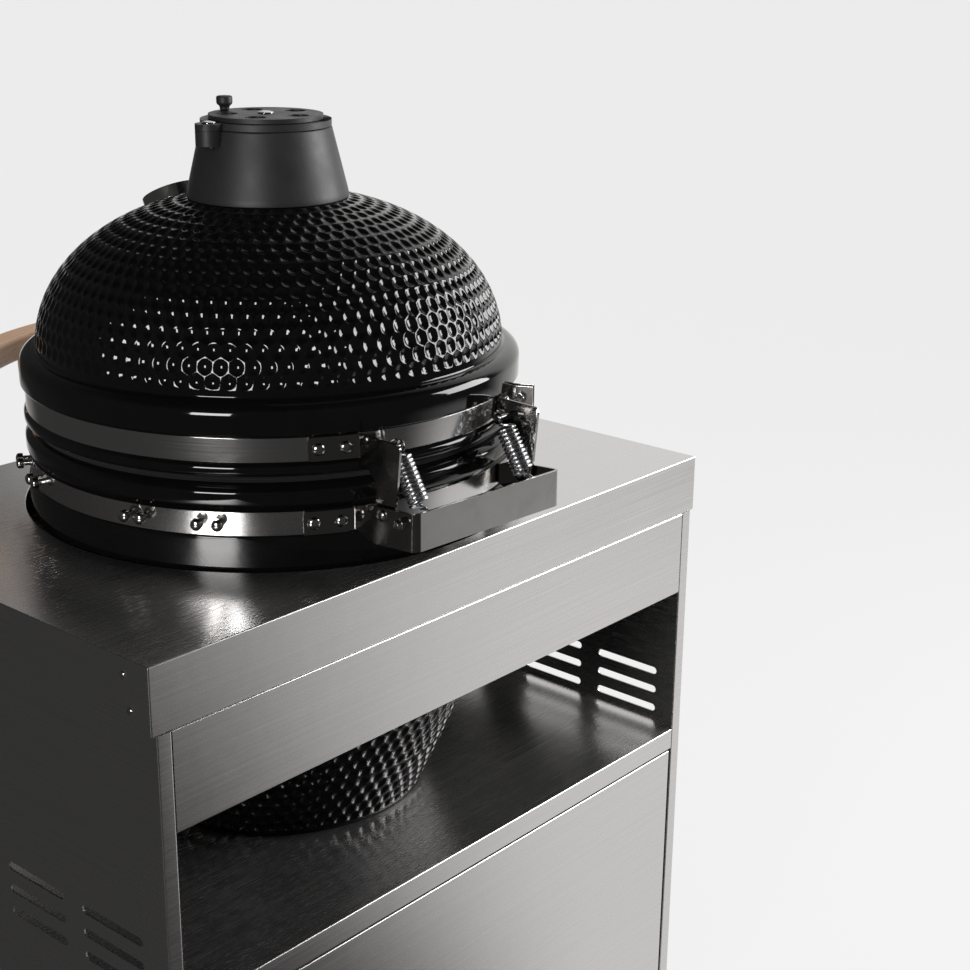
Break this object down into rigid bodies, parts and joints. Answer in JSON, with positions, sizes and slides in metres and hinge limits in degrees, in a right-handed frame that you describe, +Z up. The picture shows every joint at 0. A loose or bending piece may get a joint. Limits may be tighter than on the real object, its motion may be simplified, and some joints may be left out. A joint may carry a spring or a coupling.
{
  "type": "kamado grill table",
  "caption": "Ceramic kamado grill with sprung lid hinge, set through the worktop of a folded stainless steel cabinet table with an open shelf bay and doors below.",
  "frame": {"origin": "middle of the object's footprint box, on the floor", "axes": "+Z up; -Y is the front with the doors and the lid handle; +Y is the rear with the lid hinge; +X is the right of a cook at the front"},
  "size_m": [0.86, 0.7234, 1.2954],
  "materials": {
    "brushed_steel": "brushed stainless steel sheet",
    "polished_steel": "polished stainless steel",
    "black_glaze": "glossy black glaze on dimpled ceramic",
    "raw_ceramic": "unglazed fired ceramic",
    "cast_iron": "satin black coated cast iron",
    "light_wood": "oiled light hardwood",
    "felt_seal": "black felt",
    "clear_glass": "clear flat glass",
    "white_enamel": "matt white enamel",
    "black_rubber": "moulded rubber",
    "red_paint": "red paint"
  },
  "bodies": {
    "root": {"worktop": "brushed_steel", "end_panel_left": "brushed_steel", "end_panel_right": "brushed_steel", "apron_front": "brushed_steel", "apron_rear": "brushed_steel", "shelf": "brushed_steel", "cabinet_floor": "brushed_steel", "shelf_brace_front": "brushed_steel", "shelf_brace_rear": "brushed_steel", "foot_front_left": "black_rubber", "foot_front_right": "black_rubber", "foot_rear_left": "black_rubber", "foot_rear_right": "black_rubber", "rear_panel": "brushed_steel", "door_pin_upper_left": "polished_steel", "door_pin_upper_right": "polished_steel", "door_pin_lower_left": "polished_steel", "door_pin_lower_right": "polished_steel", "base_shell": "black_glaze", "base_gasket": "felt_seal", "lower_band": "brushed_steel", "lower_band_clamp_bolt": "polished_steel", "hinge_bracket": "polished_steel", "hinge_bolt_left": "polished_steel", "hinge_bolt_right": "polished_steel", "spring_rod": "polished_steel", "draft_frame": "polished_steel", "fire_box": "raw_ceramic", "fire_ring": "raw_ceramic", "charcoal_grate": "cast_iron", "cooking_grate": "polished_steel"},
    "lid": {"lid_shell": "black_glaze", "lid_gasket": "felt_seal", "upper_band": "brushed_steel", "upper_band_clamp_bolt": "polished_steel", "hinge_arm_left": "polished_steel", "hinge_arm_right": "polished_steel", "hinge_spring_left": "polished_steel", "hinge_spring_right": "polished_steel", "lid_handle": "light_wood", "handle_bracket_left": "polished_steel", "handle_bracket_right": "polished_steel", "thermometer_case": "polished_steel", "thermometer_dial": "white_enamel", "thermometer_glass": "clear_glass", "chimney_collar": "cast_iron", "vent_pin": "polished_steel"},
    "vent_plate": {"vent_plate": "cast_iron", "vent_rivet": "polished_steel"},
    "vent_wheel": {"vent_wheel": "cast_iron"},
    "thermometer_needle": {"thermometer_needle": "red_paint"},
    "draft_door": {"draft_door": "polished_steel"},
    "draft_screen": {"draft_screen": "polished_steel"},
    "door_left": {"door_left": "brushed_steel", "door_pull_left": "polished_steel"},
    "door_right": {"door_right": "brushed_steel", "door_pull_right": "polished_steel"}
  },
  "joints": [
    {"name": "lid_hinge", "type": "hinge", "parent": "root", "child": "lid", "pos_m": [0.01675, 0.30724, 0.9136], "axis": [-0.9984, 0.0558, 0], "range_deg": [0, 50], "stiffness_Nm_per_rad": 86, "springref_deg": 59.99, "deforming": ["hinge_spring_left", "hinge_spring_right"]},
    {"name": "vent_swing", "type": "hinge", "parent": "lid", "child": "vent_plate", "pos_m": [0.07788, 0.00335, 1.2671], "axis": [0, 0, 1], "range_deg": [0, 95]},
    {"name": "vent_turn", "type": "hinge", "parent": "vent_plate", "child": "vent_wheel", "pos_m": [0, 0.00771, 1.2744], "axis": [0, 0, 1], "range_deg": [0, 36]},
    {"name": "needle_turn", "type": "hinge", "parent": "lid", "child": "thermometer_needle", "pos_m": [-0.00962, -0.16429, 1.16023], "axis": [0.0256, 0.458, -0.8886], "range_deg": [0, 270]},
    {"name": "draft_door_slide", "type": "hinge", "parent": "root", "child": "draft_door", "pos_m": [0, 0.00771, 0.535], "axis": [0, 0, 1], "range_deg": [0, 28]},
    {"name": "draft_screen_slide", "type": "hinge", "parent": "root", "child": "draft_screen", "pos_m": [0, 0.00771, 0.535], "axis": [0, 0, 1], "range_deg": [0, 28]},
    {"name": "door_left_hinge", "type": "hinge", "parent": "root", "child": "door_left", "pos_m": [-0.395, -0.28529, 0.28], "axis": [0, 0, -1], "range_deg": [0, 105]},
    {"name": "door_right_hinge", "type": "hinge", "parent": "root", "child": "door_right", "pos_m": [0.395, -0.28529, 0.28], "axis": [0, 0, 1], "range_deg": [0, 105]}
  ]
}
